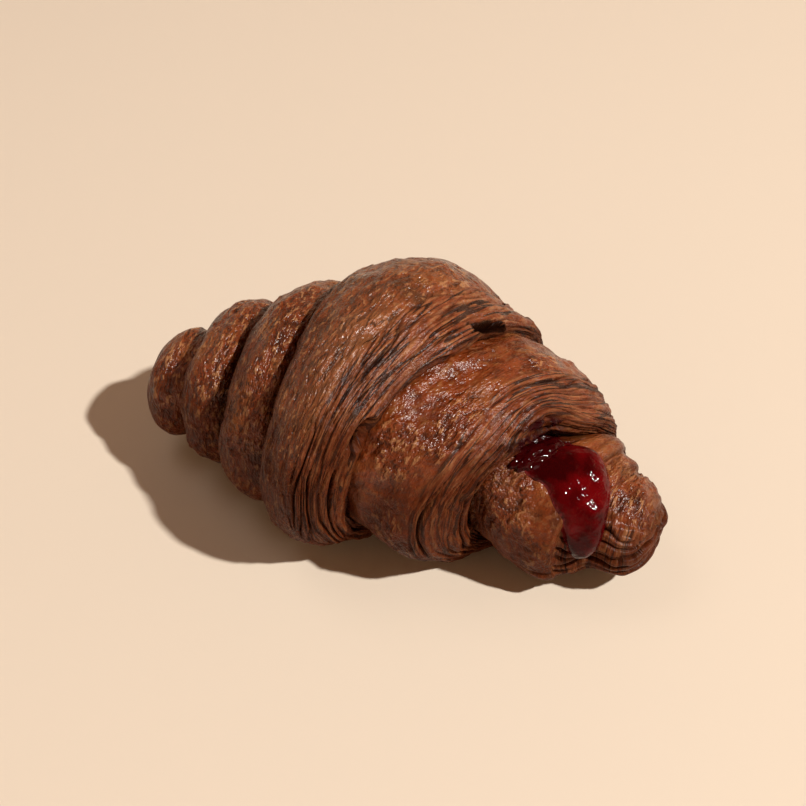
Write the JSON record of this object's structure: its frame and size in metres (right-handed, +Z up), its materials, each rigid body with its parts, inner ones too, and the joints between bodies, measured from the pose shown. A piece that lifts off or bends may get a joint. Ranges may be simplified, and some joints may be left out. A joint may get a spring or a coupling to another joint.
{
  "type": "croissant",
  "caption": "Dark baked croissant of rolled laminated dough, with red jam running from a tear near one tip.",
  "frame": {"origin": "on the surface it stands on, under the middle of its length and width", "axes": "+X along the roll towards the tip with the jam, +Y to the side away from the jam's run, +Z up"},
  "size_m": [0.15, 0.091, 0.0694],
  "materials": {
    "crust": "dark baked crust, semi-gloss from egg wash, with matt flaky layer edges",
    "jam": "wet, glossy, see-through red jam"
  },
  "bodies": {
    "root": {"croissant": "crust", "jam_filling": "jam"}
  },
  "joints": []
}
